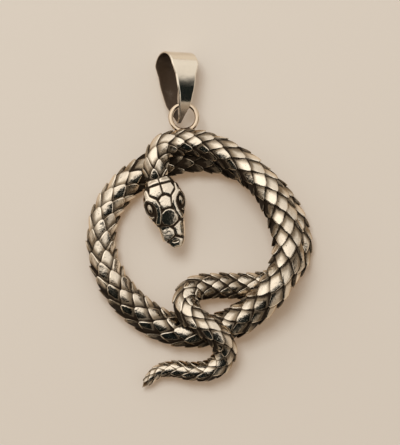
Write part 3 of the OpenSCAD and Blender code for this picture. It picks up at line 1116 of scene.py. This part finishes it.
@dataclass
class Head(SubAssembly):
    """The flattened head, with plates on its top, bands over its eyes, and its mouth. Along it x
    runs to the nose, y to its left and z up. A section has its place along the head, its half
    width, the height of the crown over the jaw's line and the depth of the jaw below it."""

    root: Triple = (-5.82, 5.30, 4.95)
    bearing: float = -73.5
    dip: float = 6.0
    roll: float = -6.0
    length: float = 9.3
    fullness: float = 2.4
    nose: float = 9.4
    nose_round: float = 0.16
    nose_rings: int = 12
    nose_point: float = 0.005
    rings: int = 190
    round_steps: int = 260
    sections: tuple[tuple[float, float, float, float], ...] = (
        (-1.2, 1.35, 1.30, 1.30),
        (0.0, 2.00, 1.60, 1.50),
        (1.2, 2.60, 1.75, 1.60),
        (2.6, 3.00, 1.75, 1.65),
        (3.8, 2.94, 1.65, 1.60),
        (5.2, 2.42, 1.40, 1.50),
        (6.6, 1.80, 1.10, 1.35),
        (8.0, 1.45, 0.80, 1.10),
        (8.9, 1.10, 0.50, 0.85),
        (9.4, 0.55, 0.15, 0.50),
    )
    plates: tuple[Plate, ...] = (
        Plate(PARIETAL),
        Plate(MIDDLE, mirrored=False, tilt=(0.13, 0.0)),
        Plate(FRONTAL, mirrored=False, dull=0.28, tilt=(-0.06, 0.03)),
        Plate(SNOUT_LEFT, mirrored=False, dull=0.1, tilt=(0.22, 0.0)),
        Plate(SNOUT_RIGHT, mirrored=False),
        Plate(NOSE, mirrored=False, tilt=(0.36, 0.1)),
        Plate(COLLAR, height=0.12, dull=0.42),
    )
    top_from: Pair = (-0.12, 0.08)
    spread: float = 0.08
    plate_bare: Pair = (-0.02, 0.14)
    plate_dull: Pair = (0.16, 0.4)
    brow: tuple[Triple, ...] = (
        (0.9, 2.3, 1.02),
        (1.75, 2.15, 1.2),
        (2.4, 1.45, 1.5),
        (3.2, 1.15, 1.42),
        (4.3, 1.25, 1.22),
        (5.4, 1.62, 0.86),
    )
    brow_half: float = 0.42
    brow_height: float = 0.2
    brow_edge: float = 0.22
    brow_bare: Pair = (-0.02, 0.12)
    cheek_out: Pair = (0.9, 1.5)
    cheek_up: Pair = (0.35, 0.75)
    cheek_end: Pair = (6.3, 6.9)
    lips_from: float = 0.3
    lip_length: float = 0.95
    lips_span: Pair = (0.4, 8.6)
    lip_height: float = 0.09
    lip_bare: Pair = (0.05, 0.5)
    jaw_from: Pair = (-0.3, -0.9)
    jaw_bare: float = 0.7
    mouth_line: tuple[Pair, ...] = ((1.6, -0.1), (3.5, -0.25), (6.0, -0.3), (9.4, -0.22))
    mouth_from: Pair = (1.4, 1.9)
    mouth_half: float = 0.1
    mouth_depth: float = 0.14
    eye_at: Triple = (3.25, 2.25, 0.95)
    eye_half: Triple = (0.75, 0.42, 0.42)
    eye_patina: float = 0.42
    eye_rings: int = 23
    eye_steps: int = 40
    socket_depth: float = 0.3
    socket_reach: Pair = (0.9, 1.75)
    socket_dark: Pair = (1.2, 1.7)
    lid_at: float = 1.8
    lid_half: float = 0.3
    lid_top: Pair = (1.0, 1.3)
    lid_height: float = 0.13
    lid_round: float = 0.8
    lid_bare: float = 0.85
    lid_bare_from: Pair = (0.2, 0.7)
    nostril_at: Pair = (8.2, 0.95)
    nostril_reach: Pair = (0.064, 0.16)
    slit_at: Pair = (8.78, -0.08)
    slit_half: Pair = (0.13, 0.5)
    slit_reach: Pair = (0.6, 1.1)
    pit_depth: float = 0.12
    collar: Pair = (-0.66, -0.48)
    end_patina: Pair = (1.0, 0.2)
    tone: float = 0.3

    def placed(self, points: Array) -> Array:
        """The head's points in the frame."""
        turns = (("Z", self.bearing), ("Y", self.dip), ("X", self.roll))
        return moved(points * (self.length / self.nose), np.array(self.root), turns)

    def base(self) -> tuple[Array, Array, Array]:
        """Smooth form of the head without its relief.

        Returns:
            Places on a grid of rings, the outward directions there, and the share of the nose's
            rounding, which is 0 at its point.
        """
        first = self.sections[0][0]
        body = np.linspace(first, self.nose, self.rings - self.nose_rings)
        arc = np.linspace(0, math.pi / 2, self.nose_rings + 2)[1:-1]
        along = np.concatenate([body, self.nose + self.nose_round * np.sin(arc)])
        share = np.concatenate([np.ones_like(body), np.cos(arc)])[:, None]
        rows = Curve(np.array(self.sections), 1).at(np.minimum(along, self.nose) - first)
        around = np.linspace(0, ROUND, self.round_steps, endpoint=False)
        swell = 2 / self.fullness
        side = np.sign(np.cos(around)) * np.abs(np.cos(around)) ** swell
        up = np.sign(np.sin(around)) * np.abs(np.sin(around)) ** swell
        depth = np.where(up > 0, rows[:, 2:3], rows[:, 3:4])
        along, share = (np.repeat(x, self.round_steps, 1) for x in (along[:, None], share))
        points = np.stack([along, rows[:, 1:2] * share * side, depth * share * up], axis=-1)
        across = np.roll(points, -1, axis=1) - np.roll(points, 1, axis=1)
        out = np.cross(across, np.gradient(points, axis=0))
        out /= np.linalg.norm(out, axis=2, keepdims=True) + NEARLY_ZERO
        return points, out, share

    def carve_top(self, form: Carving, on_top: Array) -> None:
        """Lays the plates and the brows.

        Args:
            form: relief so far.
            on_top: share of the head's top at each point.
        """
        plan = form.points[:, :2]
        for plate in self.plates:
            for outline in plate.outlines():
                inside = inside_by(plan, outline) + self.spread
                rubbed = ease(inside, *self.plate_bare) * (1 - plate.dull * ease(inside, *self.plate_dull))
                form.lay(plate.top(plan, outline) * rounded(inside, plate.edge) * on_top, rubbed * on_top)
        for side in (1, -1):
            inside = self.brow_half - line_distance(form.points, np.array(self.brow) * [1, side, 1])
            form.lay(self.brow_height * rounded(inside, self.brow_edge), ease(inside, *self.brow_bare))

    def carve_mouth(self, form: Carving) -> None:
        """Carves the scales along the lips, the jaw and the line of the mouth.

        Args:
            form: relief so far.
        """
        x, y, z = form.points.T
        cheek = ease(np.abs(y), *self.cheek_out) * (1 - ease(z, *self.cheek_up))
        cheek = cheek * (1 - ease(x, *self.cheek_end))
        lips = 0.5 - 0.5 * np.cos(ROUND * (x - self.lips_from) / self.lip_length)
        lips = np.where((x > self.lips_span[0]) & (x < self.lips_span[1]), lips, 1.0)
        rubbed = np.maximum(cheek * ease(lips, *self.lip_bare), self.jaw_bare * ease(z, *self.jaw_from))
        form.lay(form.height, rubbed)
        form.height = form.height + self.lip_height * cheek * (lips - 1)
        off_line = np.abs(z - np.interp(x, *np.array(self.mouth_line).T))
        mouth = ease(self.mouth_half - off_line, 0.0, self.mouth_half)
        form.cut(mouth * ease(x, *self.mouth_from), self.mouth_depth)

    def carve_eye(self, form: Carving, side: int) -> None:
        """Carves an eye's socket and its lid.

        Args:
            form: relief so far.
            side: 1 for the left eye and -1 for the right one.
        """
        off = (form.points - np.array(self.eye_at) * [1, side, 1]) / self.eye_half
        far = np.linalg.norm(off, axis=1)
        lid = np.clip(1 - np.abs(far - self.lid_at) / self.lid_half, 0, 1)
        lid = lid * (1 - ease(form.points[:, 2], *self.lid_top))
        form.height = form.height - self.socket_depth * (1 - ease(far, *self.socket_reach))
        form.height = form.height + self.lid_height * ease(lid, 0.0, self.lid_round)
        form.bare = form.bare * ease(far, *self.socket_dark)
        form.lay(form.height, self.lid_bare * ease(lid, *self.lid_bare_from))

    def relief(self, points: Array, share: Array) -> tuple[Array, Array]:
        """Height of the plates, bands, sockets and mouth over the smooth form.

        Args:
            points: places on the smooth form, one row each.
            share: share of the nose's rounding at each.

        Returns:
            Height and patina from 0 to 1.
        """
        form, on_top = Carving(points), ease(points[:, 2], *self.top_from)
        self.carve_top(form, on_top)
        self.carve_mouth(form)
        for side in (1, -1):
            self.carve_eye(form, side)
        x, y = points[:, 0], points[:, 1]
        nostril = np.hypot(x - self.nostril_at[0], np.abs(y) - self.nostril_at[1])
        slit = np.hypot((x - self.slit_at[0]) / self.slit_half[0], (y - self.slit_at[1]) / self.slit_half[1])
        for far, reach in ((nostril, self.nostril_reach), (slit, self.slit_reach)):
            form.cut((1 - ease(far, *reach)) * on_top, self.pit_depth)
        return form.height * share, 1 - form.bare * ease(x, *self.collar)

    def build(self) -> list[Piece]:
        """Builds the head and the eyes.

        Returns:
            The two pieces.
        """
        points, out, share = self.base()
        flat = points.reshape(-1, 3)
        height, patina = self.relief(flat, share.ravel())
        flat = flat + out.reshape(-1, 3) * height[:, None]
        steps = self.round_steps
        tips = [flat[:steps].mean(axis=0), flat[-steps:].mean(axis=0) + [self.nose_point, 0, 0]]
        marks = {PATINA_AND_SHADE: np.append(patina, self.end_patina), TONE: self.tone}
        world = self.placed(np.vstack([flat, tips]))
        return [add_mesh("snake_head", world, tube(self.rings, steps), marks), self.build_eyes()]

    def build_eyes(self) -> Piece:
        """Builds both eyes as one piece.

        Returns:
            The piece.
        """
        eye = ball(self.eye_rings, self.eye_steps) * self.eye_half
        both = np.vstack([eye + np.array(self.eye_at) * [1, side, 1] for side in (1, -1)])
        one, starts = tube(self.eye_rings, self.eye_steps), (0, len(eye))
        faces = [[point + start for point in face] for start in starts for face in one]
        return add_mesh("snake_eyes", self.placed(both), faces, {PATINA_AND_SHADE: self.eye_patina, TONE: self.tone})


# The ring and the bail


@dataclass
class Ring(SubAssembly):
    """The small wire ring, which stands on the outside of the first turn of the coil, a little
    sunk into it, and the solder at its foot."""

    bearing: float = -7.4
    coil_radius: float = 13.60
    coil_dia: float = 3.15
    sink: float = 0.14
    lift: float = 3.6
    radius: float = 1.875
    wire: float = 0.69
    turns: int = 160
    wire_steps: int = 40
    foot_swell: float = 0.16
    foot: Pair = (0.72, 1.0)
    wear: float = 0.02
    wear_waves: int = 3
    wear_from: float = 1.0
    patina: float = 0.48
    foot_patina: float = 0.5
    foot_dark: Pair = (0.8, 0.98)
    under_patina_and_shade: float = 0.3
    under: Pair = (-0.2, 1.0)
    tone: float = 0.2
    solder_r: float = 0.42
    solder_depth: float = 0.9
    solder_rise: float = 0.45
    solder_neck: Pair = (1.2, 1.95)
    solder_patina: float = 0.62
    solder_tone: float = 0.5
    solder_rings: int = 29
    solder_steps: int = 36

    @property
    def outward(self) -> Array:
        """Direction from the coil's middle to the ring."""
        bearing = math.radians(self.bearing)
        return np.array([math.sin(bearing), math.cos(bearing), 0.0])

    @property
    def middle(self) -> Array:
        """Middle of the ring, before the step to the frame's origin."""
        reach = self.coil_radius + (self.coil_dia + self.wire) / 2 + self.radius - self.sink
        return np.array([*COIL_MIDDLE, self.lift]) + reach * self.outward

    def build(self) -> list[Piece]:
        """Builds the ring, slightly uneven as wire with wear is, and its solder.

        Returns:
            The two pieces.
        """
        turn_at, around = (np.linspace(0, ROUND, n, endpoint=False) for n in (self.turns, self.wire_steps))
        turn_at, around = (grid.ravel() for grid in np.meshgrid(turn_at, around, indexing="ij"))
        to_foot = np.cos(turn_at + math.radians(self.bearing) + math.pi / 2)
        swell = self.foot_swell * ease(to_foot, *self.foot)
        swell = swell - self.wear * np.cos(self.wear_waves * turn_at + self.wear_from)
        wire_r = self.wire / 2 * (1 + swell)
        reach = self.radius + wire_r * np.cos(around)
        points = np.stack([reach * np.cos(turn_at), reach * np.sin(turn_at), -wire_r * np.sin(around)], 1)
        patina = self.patina + self.foot_patina * ease(to_foot, *self.foot_dark)
        # Painted shade on the wire's underside, towards the floor.
        patina = patina + self.under_patina_and_shade * ease(np.sin(around), *self.under)
        faces = tube(self.turns, self.wire_steps, looped=True)
        marks = {PATINA_AND_SHADE: patina, TONE: self.tone}
        ring = add_mesh("ring", points + self.middle + ORIGIN_STEP, faces, marks)
        return [ring, self.build_solder()]

    def build_solder(self) -> Piece:
        """Builds the solder, a round that is swept from the ring's foot into the coil.

        Returns:
            The piece.
        """
        run = self.solder_rise * UP - self.solder_depth * self.outward
        ahead, side = run / np.linalg.norm(run), np.cross(self.outward, UP)
        points = ball(self.solder_rings, self.solder_steps)
        swept = ease(np.arccos(-points[:, :1]), *self.solder_neck) * run
        points = self.solder_r * points @ np.array([ahead, side, np.cross(ahead, side)]) + swept
        world = points + self.middle - self.radius * self.outward + ORIGIN_STEP
        marks = {PATINA_AND_SHADE: self.solder_patina, TONE: self.solder_tone}
        faces = tube(self.solder_rings, self.solder_steps)
        return add_mesh("ring_solder", world, faces, marks)


@dataclass
class Bail(SubAssembly):
    """The tapered strip of sheet, folded over so that its two leaves meet at the tip."""

    node: ClassVar[Node] = Node.BAIL
    slot: ClassVar[Slot] = Slot.POLISHED

    length: float = 10.3
    depth: float = 4.6
    wall: float = 0.34
    leaf_r: float = 7.2
    aside: float = -0.8
    slack: float = 0.09
    drop: float = -0.18
    lean: float = 2.2
    twist: float = 34.0
    slope: float = 2.5
    wire_height: float = 2.9
    edge: tuple[Pair, ...] = (
        (-1.0, 0.2),
        (0.2, 0.3),
        (1.2, 0.48),
        (2.6, 0.97),
        (4.0, 1.17),
        (5.4, 1.5),
        (6.8, 1.73),
        (8.4, 2.25),
        (11.3, 2.25),
    )
    bow: Triple = (6.9, 2.4, 0.08)
    leaf_steps: int = 48
    straight_steps: int = 28
    fold_steps: int = 30
    across_steps: int = 28
    edge_steps: int = 7
    tip_point: float = 0.3
    patina: float = 0.1
    inner_patina_and_shade: float = 0.85
    inner_from: Pair = (-0.05, 0.12)
    edge_patina: float = 0.4
    edge_band: float = 0.4
    outer_from: Pair = (0.1, 0.16)
    tip_patina: float = 0.75
    tip_stain: Pair = (1.2, 4.0)
    fold_patina: float = 0.3
    fold_stain: Pair = (9.3, 9.9)
    end_patina: float = 0.9
    tone: float = 0.2

    def side_line(self) -> tuple[Array, Array]:
        """Middle line of the sheet from the back tip, round the fold and down to the front tip.

        Returns:
            Places and outward directions, both in depth and height.
        """
        half, fold_r = self.wall / 2, self.depth / 2
        hub = self.leaf_r - fold_r
        leaf_top, fold_at = math.sqrt(self.leaf_r**2 - hub**2), self.length - fold_r
        low = math.acos(hub / (self.leaf_r - half))
        straight = np.linspace(leaf_top, fold_at, self.straight_steps + 2)[1:-1]
        leaf, fold = np.ones(self.leaf_steps), np.ones(self.fold_steps)
        leaf_turn, fold_turn = np.linspace(-low, 0, len(leaf)), np.linspace(0, math.pi / 2, len(fold))
        angle = np.concatenate([leaf_turn, 0 * straight, fold_turn])
        hub_depth = np.concatenate([-hub * leaf, 0 * straight, 0 * fold])
        hub_height = np.concatenate([leaf_top * leaf, straight, fold_at * fold])
        reach = np.where(hub_depth < 0, self.leaf_r, fold_r) - half
        out = np.stack([np.cos(angle), np.sin(angle)], 1)
        front = np.stack([hub_depth, hub_height], 1) + reach[:, None] * out
        middle, span, rise = self.bow
        front[:, 0] += rise * np.maximum(1 - ((front[:, 1] - middle) / span) ** 2, 0)
        return tuple(np.vstack([rows * [-1, 1], rows[-2::-1]]) for rows in (front, out))

    def section(self, half_width: float) -> tuple[Array, Array]:
        """Section of the strip, a thin rectangle with rounded edges.

        Args:
            half_width: half of the strip's width.

        Returns:
            Places across the strip, and from the middle of the sheet outwards.
        """
        half = self.wall / 2
        arc = np.linspace(-math.pi / 2, math.pi / 2, self.edge_steps)
        flat = np.linspace(-1, 1, self.across_steps) * (half_width - half)
        right, rise = half_width - half + half * np.cos(arc), half * np.sin(arc)
        level = np.full(len(flat), half)
        across = np.concatenate([flat[:-1], right, flat[-2:0:-1], -right[:0:-1]])
        return across, np.concatenate([-level[1:], rise, level[2:], rise[:0:-1]])

    def build(self) -> list[Piece]:
        """Builds the bail's mesh, with its stains at the tip and the fold and the dark inner faces, of oxide
        and painted shade.

        Returns:
            The bail.
        """
        heights, widths = np.array(self.edge).T
        rows, leaves = [], []
        for (depth, height), (out_depth, out_height) in zip(*self.side_line()):
            across, outward = self.section(float(np.interp(height, heights, widths)))
            rows.append(np.stack([across, height + outward * out_height, depth + outward * out_depth], 1))
            leaves.append(outward)
        middles = [row.mean(axis=0) for row in rows]
        more = self.tip_point
        tips = [(1 + more) * middles[end] - more * middles[near] for end, near in ((0, 1), (-1, -2))]
        outward, height = np.concatenate(leaves), np.concatenate(rows)[:, 1]
        at_edge = np.abs(outward) < self.edge_band * self.wall
        # The inner faces, where the two leaves face each other, are darker with oxide and painted shade; the
        # edges are darker too.
        inner = ease(-outward, *self.inner_from) + self.edge_patina * at_edge
        stain = self.tip_patina * (1 - ease(height, *self.tip_stain))
        stain = (stain + self.fold_patina * ease(height, *self.fold_stain)) * ease(outward, *self.outer_from)
        patina = np.clip(inner * self.inner_patina_and_shade + self.patina + stain, 0, 1)
        ring = Ring()
        at = ring.middle + [self.aside, ring.radius + self.slack, self.drop]
        turns = (("Z", self.lean), ("X", -self.slope), ("Y", self.twist))
        world = moved(np.vstack([*rows, tips]) - [0, self.wire_height, 0], at, turns)
        marks = {PATINA_AND_SHADE: np.append(patina, [self.end_patina] * 2), TONE: self.tone}
        return [add_mesh("bail_strip", world, tube(len(rows), len(rows[0])), marks)]


def main() -> None:
    """Builds the pendant's looks and the studio."""
    logging.basicConfig(level=logging.INFO, format="%(name)s: %(message)s")
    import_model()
    oxidised = OxidisedSilver().material()
    polished = PolishedSilver().material()
    wire = PolishedSilver(name="ring_silver", bright=(0.87, 0.74, 0.58)).material()
    ScaledBody().dress(oxidised)
    Head().dress(oxidised, oxidised)
    Ring().dress(wire, oxidised)
    Bail().dress(polished)
    Studio().build()


if __name__ == "__main__":
    main()
